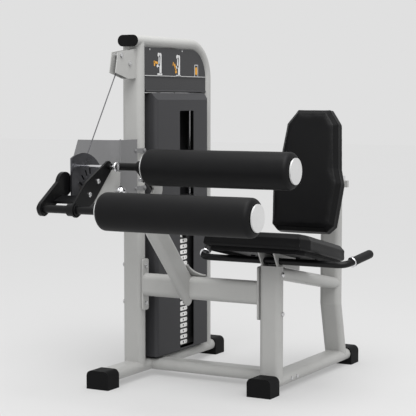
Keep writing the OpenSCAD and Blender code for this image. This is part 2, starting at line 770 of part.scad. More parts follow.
module knee_shaft() color(chrome_color) place() {
    bar_along_x(-20, shaft_end + 8 + 20, knee, shaft_d);
    dome_nut();
}

// Domed nut on the shaft's end
module dome_nut() translate([shaft_end, knee[0], knee[1]]) rotate([0, 90, 0]) difference() {
    union() {
        cylinder(h = 8, d = 48);
        translate([0, 0, 8]) intersection() {
            sphere(d = 44);
            cylinder(h = 22, d = 44);
        }
    }
    translate([0, 0, -1]) cylinder(h = 9.1, d = shaft_d + 2 * fit);
}

module cam() color("#8c8c8c") place() difference() {
    union() {
        bar_along_x(cable_x - cam_w / 2, cam_w, knee, 2 * cam_r + 22);
        bar_along_x(cable_x - 26, 26 + index_x - cable_x, knee, 62);
    }
    translate([cable_x, knee[0], knee[1]]) rotate([0, 90, 0]) rotate_extrude($fn = 96) translate([cam_r, 0]) {
        circle(d = cable_d + 2 * air, $fn = 24);
        translate([0, -cable_d / 2 - air]) square([20, cable_d + 2 * air]);
    }
    bar_along_x(-60, 120, knee, shaft_d + 2 * fit);
    for (a = [30 : 60 : 330]) bar_along_x(-40, 60, knee + 54 * [cos(a), sin(a)], 26);
    bar_along_x(-40, 60, knee + cam_r * [cos(cable_end_a), sin(cable_end_a)], ball_d + 2 * fit);
}

// Sector plate with the start holes along its rim
module index_plate() color(frame_color) place() slab(index_x, index_t) difference() {
    union() {
        intersection() {
            translate(index_mid) circle(r = index_r, $fn = 128);
            translate(knee)
                polygon([[-140, 220], [-140, -40], [-60, -46], [0, -50], [50, 0], [74, 110], [60, 220]]);
        }
        translate(knee) circle(r = 52);
    }
    translate(knee) circle(d = shaft_d + 2 * fit);
    for (i = [0 : 4]) translate(knee + start_r * [cos(pin_a - i * start_step), sin(pin_a - i * start_step)])
        circle(d = pin_bore);
    for (i = [-1 : 2]) translate(knee) rotate(pin_a - 8 + i * 20) translate([84, 0]) round_rect(30, 9, 4.4);
}

// Grey plate that turns on the knee shaft and carries the lever
module lever_hub() color(frame_color) place() slab(hub_x, side_t) difference() {
    union() {
        translate(knee) circle(r = 32);
        polygon([knee + [-6, -31], knee + [20, -24], knee + [26, 78], knee + [-66, 100],
            start_pin_at + [0, 20], lever_mid + [0, 36], lever_mid + [-30, -20], lever_mid + [32, -44]]);
    }
    translate(knee) circle(d = shaft_d + 2 * fit);
    translate(start_pin_at) circle(d = pin_bore);
    for (p = lever_bolts) translate(p) circle(d = 12 + 2 * fit);
    bridge_section(fit);
}

// Section of the bridge between the lever's two sides
module bridge_section(gap) translate(bridge_at) rotate(18)
    square([64 + 2 * gap, 10 + 2 * gap], center = true);

// Black lever: side plate, bridge to the counter arm, and the collars of the roller's shaft
module lever_frame() color(dark_color) place() difference() {
    union() {
        slab(side_x, side_t) {
            taper(leg_roller, 30, lever_mid, 48);
            taper(lever_mid, 48, start_pin_at, 24);
        }
        bar_along_x(side_x - 28, 28 + side_t + 6, leg_roller, 50);
        difference() {
            bar_along_x(side_x + 1, side_t + 13, start_pin_at, 26);
            bar_along_x(side_x, side_t + 20, start_pin_at, pin_bore);
        }
        slab(bar_x + bar_t, side_x - bar_x - bar_t + 1) bridge_section(0);
    }
    bar_along_x(bar_x - 40, 400, leg_roller, spindle_d + 2 * fit);
    bar_along_x(side_x - 40, side_t + 42, start_pin_at, pin_bore);
    for (p = lever_bolts) bar_along_x(side_x - 40, 80, p, 12 + 2 * fit);
}

// Bolts and nuts that hold the lever on its hub plate
module lever_bolt_set() color(chrome_color) place() for (p = lever_bolts) {
    translate([side_x + side_t, p[0], p[1]]) rotate([0, 90, 0]) bolt(12, 2 * side_t + 9);
    translate([hub_x, p[0], p[1]]) rotate([0, -90, 0]) cylinder(h = 8.8, d = 21, $fn = 6);
}

// Thick arm on the far side, with a round weight-like head
module counter_arm() color(dark_color) place() difference() {
    union() {
        slab(bar_x, bar_t) {
            taper(leg_roller, 30, counter_at, 36);
            translate(counter_at) circle(r = 49);
        }
        translate([bar_x - 4, leg_roller[0], leg_roller[1]]) rotate([0, 90, 0]) cylinder(h = 5, d = 50);
    }
    bar_along_x(bar_x - 40, 400, leg_roller, spindle_d + 2 * fit);
}

module start_pin() color(chrome_color) place()
    translate([start_pin_out, start_pin_at[0], start_pin_at[1]]) rotate([0, 90, 0]) {
        translate([0, 0, index_x]) cylinder(h = side_x + 40 - index_x, d = 12);
        translate([0, 0, side_x + side_t + 14.3]) cylinder(h = 6, d = 20);
        translate([0, 0, side_x + 36]) rotate_extrude() translate([15, 0]) circle(d = 10);
        translate([0, 0, side_x + 32]) cylinder(h = 8, d = 26);
    }

// ---- Rollers ----

// Tube spindle from x0 to x1, closed at its outer end
module spindle(at, x0, x1) difference() {
    bar_along_x(x0, x1 - x0, at, spindle_d);
    bar_along_x(x0 + 4, x1 - x0 - 8, at, spindle_d - 8);
}

// Core tube and both end discs of a roller that starts at x
module roller_hub(at, x) difference() {
    union() {
        bar_along_x(x - 4, roller_l + 8, at, core_d);
        bar_along_x(x - 8, 6, at, cap_d);
        bar_along_x(x + roller_l + 2, 6, at, cap_d);
    }
    bar_along_x(x - 20, roller_l + 20, at, spindle_d + 2 * fit);
}

// Foam sleeve with rounded rims
module roller_foam(at, x) translate([x, at[0], at[1]]) rotate([0, 90, 0]) difference() {
    union() {
        translate([0, 0, 14]) cylinder(h = roller_l - 28, d = roller_d, $fn = 96);
        cylinder(h = roller_l, d = roller_d - 28, $fn = 96);
        for (z = [14, roller_l - 14]) translate([0, 0, z]) rotate_extrude($fn = 96)
            translate([roller_d / 2 - 14, 0]) circle(r = 14);
    }
    translate([0, 0, -1]) cylinder(h = roller_l + 2, d = core_d + 2 * loose);
}

module leg_roller_shaft() color(dark_color) place()
    spindle(leg_roller, bar_x - 12, leg_roller_x + roller_l - 6);
module leg_roller_hub() color(chrome_color) place() roller_hub(leg_roller, leg_roller_x);
module leg_roller_foam() color(pad_color) place() roller_foam(leg_roller, leg_roller_x);
module thigh_roller_shaft() color(dark_color) place()
    spindle(thigh_roller, 112, thigh_roller_x + roller_l - 6);
module thigh_roller_hub() color(chrome_color) place() roller_hub(thigh_roller, thigh_roller_x);
module thigh_roller_foam() color(pad_color) place() roller_foam(thigh_roller, thigh_roller_x);

// ---- Thigh roller support ----

// Fixed plate on the brace, with the pivot pin of the thigh roller's arm
module thigh_bracket() color(frame_color) place() {
    difference() {
        slab(thigh_plate_x, thigh_t) {
            taper(pivot_tube_at, 56, thigh_pivot, 30);
            link(thigh_pivot, thigh_hole(1), 48);
        }
        for (i = [0 : 2]) bar_along_x(thigh_plate_x - 1, 10, thigh_hole(i), 10 + 2 * loose);
        pivot_tube(thigh_plate_x - 20) oval(tube_w, tube_t);
    }
    bar_along_x(thigh_arm_x - 1.2, thigh_plate_x - thigh_arm_x + 5, thigh_pivot, 20);
    bar_along_x(thigh_arm_x - 7, 6, thigh_pivot, 30);
    bar_along_x(thigh_arm_x - 9, 3, thigh_pivot, 24);
}

// Place of the bracket's hole number i, one step of the arm apart
function thigh_hole(i) = thigh_pivot
    + pin_reach * [cos(thigh_a - i * thigh_step), sin(thigh_a - i * thigh_step)];

module thigh_arm() color(dark_color) place() difference() {
    union() {
        slab(thigh_arm_x, arm_t) link(thigh_pivot, thigh_roller, 50);
        bar_along_x(thigh_arm_x - 4, 22, thigh_roller, 44);
        bar_along_x(thigh_arm_x - 14, 20, thigh_pin_at, 22);
    }
    bar_along_x(thigh_arm_x - 1, arm_t + 2, thigh_pivot, 20 + 2 * fit);
    bar_along_x(thigh_arm_x - 20, 60, thigh_roller, spindle_d + 2 * fit);
    bar_along_x(thigh_arm_x - 20, 60, thigh_pin_at, 10 + 2 * fit);
}

module thigh_pin() color(chrome_color) place()
    translate([thigh_plate_x + thigh_t - 1 - thigh_pin_out, thigh_pin_at[0], thigh_pin_at[1]])
        rotate([0, -90, 0]) {
            cylinder(h = 48, d = 10);
            translate([0, 0, 34]) cylinder(h = 10, d = 22);
            translate([0, 0, 48]) sphere(d = 22);
        }

// Curved sheet that covers the cam's back and side; its side flange bolts to the upright
module cable_guard() color(frame_color) place() {
    front = -20;
    drop = guard_seam_y - guard_y;
    bend = ((guard_x - front) * (guard_x - front) + drop * drop) / 2 / drop;
    intersection() {
        translate([0, 0, guard_z[0]]) linear_extrude(guard_z[1] - guard_z[0]) {
            translate([guard_left, guard_y]) square([front - guard_left, 3]);
            translate([guard_x - 3, guard_seam_y]) square([3, guard_end - guard_seam_y]);
            translate([front, guard_y + bend]) intersection() {
                difference() {
                    circle(r = bend, $fn = 96);
                    circle(r = bend - 3, $fn = 96);
                }
                translate([0, -bend]) square([guard_x - front, drop + 1]);
            }
        }
        // the free edge slopes and its lower corner is cut back round the cam
        translate([0, guard_end + 1, 0]) rotate([90, 0, 0]) linear_extrude(guard_end) polygon([
            [guard_left + 22, guard_z[1]], [guard_left, guard_z[1] - 66], [guard_left, guard_z[0] + 90],
            [guard_left + 80, guard_z[0]], [guard_x + 1, guard_z[0]], [guard_x + 1, guard_z[1]]]);
    }
    // seam rod where the bend meets the flat side
    translate([guard_x - 1, guard_seam_y, guard_z[0]]) cylinder(h = guard_z[1] + 3 - guard_z[0], d = 7);
    // tabs that hold it on the upright's side
    for (z = [guard_z[0] + 30, guard_z[1] - 60]) {
        translate([tube_w / 2, guard_end - 24, z])
            cube([guard_x - 3 - tube_w / 2, post_y + 10 - guard_end + 24, 20]);
        translate([guard_x - 3, post_y, z + 10]) rotate([0, 90, 0]) bolt(10, 1);
        translate([guard_x, guard_end - 14, z + 10]) rotate([0, 90, 0]) bolt(8, 1);
    }
}

// ---- Seat ----

// Seat frame: origin at the middle of the front bottom edge, x to the side, y to the back
module seat_place() translate([seat_x, seat_front, seat_z - seat_t * cos(seat_tilt)])
    rotate([-seat_tilt, 0, 0]) children();

module seat_outline(inset) {
    w = seat_w / 2 - inset;
    polygon([[-w, 60], [-w + 22, inset], [w - 22, inset], [w, 60], [w, seat_l - 30],
        [w - 30, seat_l - inset], [-w + 30, seat_l - inset], [-w, seat_l - 30]]);
}

module seat_cushion() color(pad_color) place() seat_place() linear_extrude(seat_t) seat_outline(0);

// Height of the pan's underside, and of the beam's top, at a place along Y
function pan_under(y) = seat_z - seat_t * cos(seat_tilt) - (y - seat_front) * tan(seat_tilt)
    - (pan_t + air) / cos(seat_tilt);
function beam_top(y) = beam_start - (y - post_y) * beam_drop + tube_t / 2 / cos(atan(beam_drop));

// Moulded pan under the cushion, with its turned-down rim and bolt heads
module seat_pan() color(dark_color) place() seat_place() translate([0, 0, -pan_t - air]) {
    linear_extrude(pan_t) seat_outline(18);
    translate([0, 0, -14]) linear_extrude(14) difference() {
        seat_outline(26);
        seat_outline(32);
    }
    for (x = [-150, -62, 62, 150], y = [90, 330]) translate([x, y, 0]) mirror([0, 0, 1]) bolt(12, 0.1);
}

// Two side plates and a top plate that carry the pan on the post and the beam
module seat_mount() color(frame_color) place() difference() {
    for (x = [-mount_w / 2, mount_w / 2 - 6]) slab(seat_x + x, 6) polygon([
        [post_y - 22, post_top], [post_y + 22, post_top], [post_y + 40, beam_top(post_y + 40)],
        [post_y + 190, beam_top(post_y + 190)], [post_y + 190, pan_under(post_y + 190)],
        [post_y - 60, pan_under(post_y - 60)]]);
    translate([seat_x - 100, bar_y, bar_z]) rotate([0, 90, 0]) cylinder(h = 200, d = handle_d + 2 * fit);
}

// Bar across under the seat, bent back and slightly up at both ends
module handle_bar() color(dark_color) place() translate([seat_x, bar_y, bar_z]) rotate([grip_rise, 0, 0])
    rotate([-90, -90, 0]) {
        mid = [bar_half - bar_bend, bar_bend];
        end = mid + bar_bend * [cos(flare), -sin(flare)] + (grip_start + grip_l) * [sin(flare), cos(flare)];
        swept_bar(concat(
            [[[-end[0], end[1]], [-cos(flare), -sin(flare)]]],
            wrap([-mid[0], mid[1]], bar_bend, -180 + flare, -90),
            wrap(mid, bar_bend, -90, -flare),
            [[end, [cos(flare), -sin(flare)]]]), handle_d, 24);
    }

// Frame at the middle of a bend, tilted by the grip's rise and mirrored for the left side
module bend_frame(side)
    translate([seat_x + side * (bar_half - bar_bend), bar_y, bar_z]) rotate([grip_rise, 0, 0])
    translate([0, bar_bend, 0]) mirror([side < 0 ? 1 : 0, 0, 0]) children();

module hand_grips() color(pad_color) place() for (side = [-1, 1]) bend_frame(side)
    rotate([0, 0, -flare]) translate([bar_bend, 0, 0]) rotate([-90, 0, 0]) difference() {
        translate([0, 0, grip_start]) union() {
            cylinder(h = 5, d = grip_d + 6);
            cylinder(h = grip_l, d = grip_d);
            translate([0, 0, grip_l]) intersection() {
                sphere(d = grip_d);
                cylinder(h = grip_d, d = grip_d);
            }
        }
        cylinder(h = grip_start + grip_l + loose, d = handle_d + 2 * loose);
    }

// ---- Backrest ----

// Backrest frame: origin at the middle of the cushion's bottom rear edge, y through it, z up along it
module back_place()
    translate([seat_x, back_foot[0] + back_t, back_foot[1]]) rotate([-back_tilt, 0, 0]) children();

// Half widths up the backrest, as [height share, half width]

module back_outline(inset) polygon(concat(
    [for (p = back_sides) [p[1] - inset, inset + p[0] * (back_h - 2 * inset)]],
    [for (i = [len(back_sides) - 1 : -1 : 0])
        [-back_sides[i][1] + inset, inset + back_sides[i][0] * (back_h - 2 * inset)]]));

module back_cushion() color(pad_color) place()
    back_place() rotate([90, 0, 0]) linear_extrude(back_t) back_outline(0);

module back_plate() color(dark_color) place() difference() {
    back_place() translate([0, back_gap + 6, 0]) rotate([90, 0, 0]) linear_extrude(6) difference() {
        back_outline(26);
        translate([0, back_h * 0.75]) circle(d = 60);
    }
}

// Slide bar behind the back plate
module back_bar() color(chrome_color) place() difference() {
    translate([seat_x - bar_sec / 2, back_foot[0], back_beam_z - bar_sec / 2])
        cube([bar_sec, slide_end - back_foot[0], bar_sec]);
    translate([seat_x - bar_sec / 2 + 4, back_foot[0], back_beam_z - bar_sec / 2 + 4])
        cube([bar_sec - 8, slide_end - back_foot[0] - 4, bar_sec - 8]);
    back_place() translate([-300, -300, -300]) cube([600, 300 + back_gap + 6, 1200]);
    for (i = [0 : 3]) translate([seat_x, rear_post_y + i * 24, back_beam_z]) rotate([0, 90, 0])
        cylinder(h = 100, d = 12 + 2 * loose);
}

// Sleeve on top of the rear post in which the bar slides
module back_sleeve() color(frame_color) place() difference() {
    translate([seat_x - bar_sec / 2 - sleeve_t, rear_post_y - 40, sleeve_bottom])
        cube([bar_sec + 2 * sleeve_t, 80, bar_sec + 2 * sleeve_t]);
    translate([seat_x - bar_sec / 2 - air, rear_post_y - 60, back_beam_z - bar_sec / 2 - air])
        cube([bar_sec + 2 * air, 120, bar_sec + 2 * air]);
    translate([seat_x, rear_post_y, back_beam_z]) rotate([0, 90, 0]) cylinder(h = 100, d = 12 + 2 * fit);
}

// Spring pin with its long pull lever
module back_lever() color(frame_color) place()
    translate([seat_x + bar_sec / 2 + back_pin_out, rear_post_y, back_beam_z]) rotate([0, 90, 0]) {
        translate([0, 0, -3]) cylinder(h = 30, d = 12);
        translate([0, 0, 5.5]) cylinder(h = 12, d = 30);
        translate([0, 0, 17.5]) cylinder(h = 8, d = 22);
        translate([-9, -9, 25]) cube([30, 18, 26]);
    }

tower_base_tube();
seat_base_tube();
floor_beam();
front_upright();
arch_tube();
tube_caps();
placard();
shroud_front();
shroud_rear();
guide_rods();
stack_base();
weight_plates();
picked_plates();
top_plate();
selector_rod();
selector_pin();
pulley_bracket();
rear_pulley_hanger();
front_pulley();
rear_pulley();
weight_cable();
stack_cable();
cam_cable();
seat_front_post();
seat_beam();
seat_rear_post();
cross_beam();
frame_bolts();
brace();
pivot_arm();
bearing_housing();
bearing_bushes();
knee_shaft();
cam();
index_plate();
lever_frame();
lever_hub();
lever_bolt_set();
counter_arm();
start_pin();
leg_roller_shaft();
leg_roller_hub();
leg_roller_foam();
thigh_bracket();
thigh_arm();
thigh_pin();
thigh_roller_shaft();
thigh_roller_hub();
thigh_roller_foam();
cable_guard();
seat_mount();
seat_pan();
seat_cushion();
handle_bar();
hand_grips();
back_sleeve();
back_bar();
back_plate();
back_cushion();
back_lever();
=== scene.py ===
import json
import math

import bmesh
import bpy
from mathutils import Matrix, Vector


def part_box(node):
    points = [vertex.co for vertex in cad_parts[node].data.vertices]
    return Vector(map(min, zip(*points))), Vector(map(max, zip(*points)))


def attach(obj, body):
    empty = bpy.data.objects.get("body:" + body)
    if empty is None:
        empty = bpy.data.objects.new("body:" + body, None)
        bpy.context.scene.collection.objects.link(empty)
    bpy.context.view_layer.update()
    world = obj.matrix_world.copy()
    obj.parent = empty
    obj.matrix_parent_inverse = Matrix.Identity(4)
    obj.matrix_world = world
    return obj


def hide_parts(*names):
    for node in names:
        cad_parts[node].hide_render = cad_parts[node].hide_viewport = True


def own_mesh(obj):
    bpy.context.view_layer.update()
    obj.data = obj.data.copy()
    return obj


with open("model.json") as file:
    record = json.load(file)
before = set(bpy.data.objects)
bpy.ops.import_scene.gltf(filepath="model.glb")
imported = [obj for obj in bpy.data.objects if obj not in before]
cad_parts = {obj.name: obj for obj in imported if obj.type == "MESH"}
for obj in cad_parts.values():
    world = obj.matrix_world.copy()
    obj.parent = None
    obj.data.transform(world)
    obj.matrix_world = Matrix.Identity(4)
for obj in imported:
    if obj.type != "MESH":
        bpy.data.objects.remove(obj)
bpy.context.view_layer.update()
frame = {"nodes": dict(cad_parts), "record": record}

bl_info = {
    "name": "Leg Extension Machine",
    "version": (1, 0, 0),
    "blender": (4, 5, 0),
    "location": "3D View > Sidebar > Leg Machine",
    "description": "Upholstery, rollers, labels and finishes on the frame of a seated leg machine",
    "category": "Object",
}

MM = 0.001
NODES = frame["nodes"]
ROOT = "machine_frame"

# Slopes of the frame that the new pieces follow
SEAT_SLOPE = math.radians(12)
BACK_RECLINE = math.radians(13)
GRIP_FLARE = math.radians(15)
GRIP_RISE = math.radians(12)

NOISE = "ShaderNodeTexNoise"
CELLS = "ShaderNodeTexVoronoi"


def linear(code):
    """Turns an sRGB hex colour into linear values with alpha."""
    parts = [int(code[i:i + 2], 16) / 255 for i in (1, 3, 5)]
    return [c / 12.92 if c <= 0.04045 else ((c + 0.055) / 1.055) ** 2.4 for c in parts] + [1.0]


def colour_prop(name, description, code):
    return bpy.props.FloatVectorProperty(
        name=name, description=description, subtype="COLOR", size=4, min=0, max=1, default=linear(code))


def length_prop(name, description, value):
    return bpy.props.FloatProperty(
        name=name, description=description, subtype="DISTANCE", unit="LENGTH", min=0, default=value)


# ---- Settings a user would change ----

class PadSettings(bpy.types.PropertyGroup):
    """Sizes of the seat and back cushions."""
    bevel: length_prop("Bevel", "Width of the slanted rim round a cushion's face", 18 * MM)
    foot_bevel: length_prop("Foot bevel", "Width of the rim on the side a cushion rests on", 7 * MM)
    crown: length_prop("Crown", "Most that the cover swells out over the foam", 5 * MM)
    ease: bpy.props.IntProperty(
        name="Ease", description="How many times the cover's swelling is evened out", min=0, default=14)
    cell: length_prop("Cell", "Size of the mesh cells that the cover is made of", 5 * MM)
    pressure: bpy.props.FloatProperty(
        name="Pressure", description="How hard the foam pushes on the cover", min=0, default=4.0)


class RollerSettings(bpy.types.PropertyGroup):
    """Sizes of the foam rollers."""
    rim: length_prop("Rim", "Radius of the rounded rim at both ends", 22 * MM)
    uneven: length_prop("Unevenness", "Height of the foam's shallow waves", 1.2 * MM)


class LabelSettings(bpy.types.PropertyGroup):
    """Sizes and colours of the plates' labels and the placard's signs."""
    width: length_prop("Width", "Width of a plate label", 62 * MM)
    height: length_prop("Height", "Height of a plate label", 18 * MM)
    thickness: length_prop("Thickness", "Thickness of a label", 0.9 * MM)
    step: bpy.props.IntProperty(
        name="Step", description="Weight from one plate to the next", min=1, default=5)
    face: colour_prop("Face", "Colour of the labels", "#f0f0ee")
    ink: colour_prop("Ink", "Colour of the numbers", "#8c8c8e")
    accent: colour_prop("Accent", "Colour of the marked parts on the placard", "#d99a2b")


class FinishSettings(bpy.types.PropertyGroup):
    """Colours of the frame and its fittings."""
    silver: colour_prop("Silver paint", "Powder coat of the frame tubes", "#a9a9a7")
    black: colour_prop("Black paint", "Powder coat of the levers and the handle bar", "#0e0e0f")
    shroud: colour_prop("Shroud paint", "Textured paint of the stack's cover", "#3b3b3d")
    placard: colour_prop("Placard", "Paint of the panel under the arch", "#303032")
    pad: colour_prop("Upholstery", "Leatherette of the cushions", "#0c0c0d")
    foam: colour_prop("Foam", "Foam sleeves of the rollers", "#121213")


class StageSettings(bpy.types.PropertyGroup):
    """Camera, floor and lights."""
    eye: bpy.props.FloatVectorProperty(
        name="Eye", description="Place of the camera", subtype="TRANSLATION", unit="LENGTH",
        default=(2.7189, -5.1174, 1.2207))
    tilt: bpy.props.FloatProperty(
        name="Tilt", description="Angle of the camera from straight down", subtype="ANGLE",
        default=math.radians(85.5))
    turn: bpy.props.FloatProperty(
        name="Turn", description="Angle of the camera round the machine", subtype="ANGLE",
        default=math.radians(28.8))
    lens: bpy.props.FloatProperty(
        name="Lens", description="Focal length in millimetres", min=20, default=118.9)
    floor: colour_prop("Floor", "Colour of the floor and the backdrop", "#e0e0e0")
    key: bpy.props.FloatProperty(
        name="Key light", description="Strength of the main light", min=0, default=2.0)


class MachineSettings(bpy.types.PropertyGroup):
    """All settings of the machine."""
    pads: bpy.props.PointerProperty(type=PadSettings, name="Cushions", description="Cushion sizes")
    rollers: bpy.props.PointerProperty(type=RollerSettings, name="Rollers", description="Roller sizes")
    labels: bpy.props.PointerProperty(type=LabelSettings, name="Labels", description="Label sizes")
    finishes: bpy.props.PointerProperty(type=FinishSettings, name="Finishes", description="Paint colours")
    stage: bpy.props.PointerProperty(type=StageSettings, name="Stage", description="Camera and lights")


def settings():
    return bpy.context.scene.leg_machine


def box(node):
    """Lowest and highest corner of a CAD node at rest."""
    low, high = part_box(node)
    return Vector(low), Vector(high)


# ---- Materials ----

def add(tree, kind, values=None, links=None, stops=None):
    """Adds a node, gives it its settings and links sockets into its inputs."""
    node = tree.nodes.new(kind)
    for key, value in (values or {}).items():
        if key in node.inputs:
            node.inputs[key].default_value = value
        else:
            setattr(node, key, value)
    for key, socket in (links or {}).items():
        tree.links.new(socket, node.inputs[key])
    for element, (place, colour) in zip(node.color_ramp.elements if stops else (), stops or ()):
        element.position = place
        element.color = colour
    return node


def shade(colour, factor):
    return [min(c * factor, 1.0) for c in colour[:3]] + [1.0]


def surface(name, colour, patch_mm, spread, roughness, grain=(), **shader):
    """A finish whose tone drifts over patches, with layers of bump: (kind, size in mm, depth in mm)."""
    made = bpy.data.materials.get(name)
    if made:
        return made
    material = bpy.data.materials.new(name)
    material.use_nodes = True
    tree = material.node_tree
    bsdf = tree.nodes["Principled BSDF"]
    place = add(tree, "ShaderNodeTexCoord").outputs["Object"]
    drift = add(tree, NOISE, {"Scale": 1 / (patch_mm * MM), "Detail": 3.0}, {"Vector": place})
    tone = add(tree, "ShaderNodeValToRGB", links={"Fac": drift.outputs["Fac"]},
               stops=((0.3, shade(colour, 1 - spread)), (0.7, shade(colour, 1 + spread))))
    tree.links.new(tone.outputs["Color"], bsdf.inputs["Base Color"])
    rough = add(tree, "ShaderNodeMapRange", {"To Min": roughness[0], "To Max": roughness[1]},
                {"Value": drift.outputs["Fac"]})
    tree.links.new(rough.outputs["Result"], bsdf.inputs["Roughness"])
    normal = None
    for kind, size_mm, depth_mm in grain:
        pattern = add(tree, kind, {"Scale": 1 / (size_mm * MM)}, {"Vector": place})
        height = pattern.outputs["Distance" if kind == CELLS else "Fac"]
        layer = add(tree, "ShaderNodeBump", {"Strength": 1.0, "Distance": depth_mm * MM}, {"Height": height})
        if normal:
            tree.links.new(normal, layer.inputs["Normal"])
        normal = layer.outputs["Normal"]
    if normal:
        tree.links.new(normal, bsdf.inputs["Normal"])
    for key, value in shader.items():
        bsdf.inputs[key.replace("_", " ")].default_value = value
    return material


def silver_powder_coat():
    # Polyester powder with fine aluminium flake baked on steel tube: satin, with a faint orange peel
    return surface("silver_powder_coat", settings().finishes.silver, 90, 0.025, (0.36, 0.46),
                   ((NOISE, 4, 0.05),), Specular_IOR_Level=0.35)


def black_powder_coat():
    # Semi-gloss black powder: deep tone with soft highlights along the plates' edges
    return surface("black_powder_coat", settings().finishes.black, 60, 0.12, (0.28, 0.4),
                   ((NOISE, 4, 0.05),), Specular_IOR_Level=0.22)


def texture_paint():
    # Wrinkle-textured paint on folded sheet: dull, with a pebbled surface drawn coarser than its 0.5 mm
    return surface("texture_paint", settings().finishes.shroud, 160, 0.03, (0.5, 0.6),
                   ((NOISE, 2.5, 0.12),), Specular_IOR_Level=0.2)


def satin_placard_paint():
    # Screen-printed sheet with a satin overlay film
    return surface("satin_placard_paint", settings().finishes.placard, 120, 0.03, (0.34, 0.42),
                   ((NOISE, 5, 0.03),), Specular_IOR_Level=0.3)


def guard_paint():
    # Dark satin enamel on the bent guard sheet, with a little metal flake
    return surface("guard_paint", linear("#5a5a5c"), 120, 0.03, (0.3, 0.4),
                   ((NOISE, 5, 0.03),), Metallic=0.5)


def ground_steel_painted_reflection():
    # Hot-rolled plate, ground and clear-lacquered, with long cloudy bands of tone at random. Its grey is
    # painted far darker than bare steel, as a painted reflection of dark surroundings
    return surface("ground_steel_painted_reflection", linear("#56565a"), 30, 0.14, (0.25, 0.4),
                   ((NOISE, 4, 0.03),), Metallic=0.9)


def moulded_polypropylene():
    # Injection-moulded black plastic with a fine spark-eroded grain
    return surface("moulded_polypropylene", linear("#0e0e0f"), 50, 0.1, (0.42, 0.55),
                   ((NOISE, 2.5, 0.1),), Specular_IOR_Level=0.13)


def moulded_rubber():
    # Compression-moulded rubber: matt, slightly grey where dust settles
    return surface("moulded_rubber", linear("#0b0b0c"), 35, 0.2, (0.55, 0.75),
                   ((NOISE, 6, 0.15), (NOISE, 2, 0.05)), Specular_IOR_Level=0.13)


def bright_chrome():
    # Hard chrome on ground steel: mirror-like with hair-fine grinding marks
    return surface("bright_chrome", linear("#dedee0"), 40, 0.03, (0.06, 0.14),
                   ((NOISE, 3, 0.01),), Metallic=1.0)


def zinc_plate():
    # Bright zinc plating on bolts: soft silver with cloudy patches
    return surface("zinc_plate", linear("#cfcfd0"), 12, 0.08, (0.18, 0.32),
                   ((NOISE, 2, 0.02),), Metallic=1.0)


def sintered_bronze():
    # Pressed and sintered bronze: warm, dull and porous
    return surface("sintered_bronze", linear("#a8824c"), 8, 0.12, (0.35, 0.5),
                   ((NOISE, 1.2, 0.05),), Metallic=1.0)


def painted_casting():
    # Grey enamel over a sand casting: the casting's skin shows as shallow lumps
    return surface("painted_casting", linear("#5c5c5e"), 25, 0.06, (0.38, 0.5),
                   ((NOISE, 9, 0.25), (NOISE, 2.5, 0.06)), Metallic=0.3)


def cast_iron_enamel():
    # Black enamel over cast iron plates, with the casting's pitted skin
    return surface("cast_iron_enamel", linear("#161617"), 40, 0.2, (0.4, 0.6),
                   ((NOISE, 7, 0.2), (CELLS, 3, 0.06)))


def nylon_pulley():
    # Machined black nylon: smooth with a waxy sheen
    return surface("nylon_pulley", linear("#19191a"), 20, 0.12, (0.3, 0.42),
                   ((NOISE, 3, 0.03),), Specular_IOR_Level=0.35)


def coated_cable():
    # Steel cable in clear-grey nylon: the strands show as short slanted ripples
    return surface("coated_cable", linear("#4d4d50"), 14, 0.15, (0.25, 0.35),
                   ((NOISE, 3, 0.15),), Metallic=0.4, Coat_Weight=0.5, Coat_Roughness=0.15)


def foam_skin():
    # Closed-cell rubber foam with its moulded skin: soft, faintly pebbled, with a light sheen at the edges
    return surface("foam_skin", settings().finishes.foam, 70, 0.08, (0.46, 0.56),
                   ((CELLS, 2.6, 0.08), (NOISE, 30, 0.4)), Specular_IOR_Level=0.14)


def grained_leatherette():
    # Embossed vinyl over foam: leather grain of about 1.5 mm, drawn at 3 mm so that it shows
    return surface("grained_leatherette", settings().finishes.pad, 110, 0.08, (0.36, 0.48),
                   ((CELLS, 3, 0.14), (NOISE, 60, 0.35)), Specular_IOR_Level=0.14)


def grip_rubber():
    # Dipped rubber grips with a close diamond texture
    return surface("grip_rubber", linear("#161617"), 25, 0.15, (0.5, 0.65), ((CELLS, 4, 0.4),),
                   Specular_IOR_Level=0.25)


def label_film():
    # White polyester label: smooth and slightly glossy
    return surface("label_film", settings().labels.face, 30, 0.02, (0.3, 0.38), ((NOISE, 6, 0.02),))


def label_ink():
    # Screen ink, a little duller than the film under it
    return surface("label_ink", settings().labels.ink, 20, 0.05, (0.45, 0.5), ((NOISE, 3, 0.01),))


def sign_ink():
    # Pale screen ink of the pictograms
    return surface("sign_ink", linear("#d2d2d2"), 20, 0.04, (0.4, 0.5), ((NOISE, 3, 0.01),))


def accent_ink():
    # Amber screen ink
    return surface("accent_ink", settings().labels.accent, 20, 0.05, (0.4, 0.5), ((NOISE, 3, 0.01),))


def turned_aluminium(name, node):
    """Satin aluminium turned on a lathe: fine rings round the roller's own axis."""
    material = surface(name, linear("#dcdcdc"), 60, 0.03, (0.3, 0.42),
                       ((NOISE, 6, 0.01),), Metallic=0.55)
    tree = material.node_tree
    low, high = box(node)
    place = add(tree, "ShaderNodeTexCoord").outputs["Object"]
    centred = add(tree, "ShaderNodeMapping", {"Location": -(low + high) / 2}, {"Vector": place})
    rings = add(tree, "ShaderNodeTexWave", {
        "wave_type": "RINGS", "rings_direction": "X", "Scale": 1 / (60 * MM), "Distortion": 0.4},
        {"Vector": centred.outputs["Vector"]})
    bump = add(tree, "ShaderNodeBump", {"Strength": 0.6, "Distance": 0.05 * MM},
               {"Height": rings.outputs["Fac"]})
    tree.links.new(bump.outputs["Normal"], tree.nodes["Principled BSDF"].inputs["Normal"])
    return material


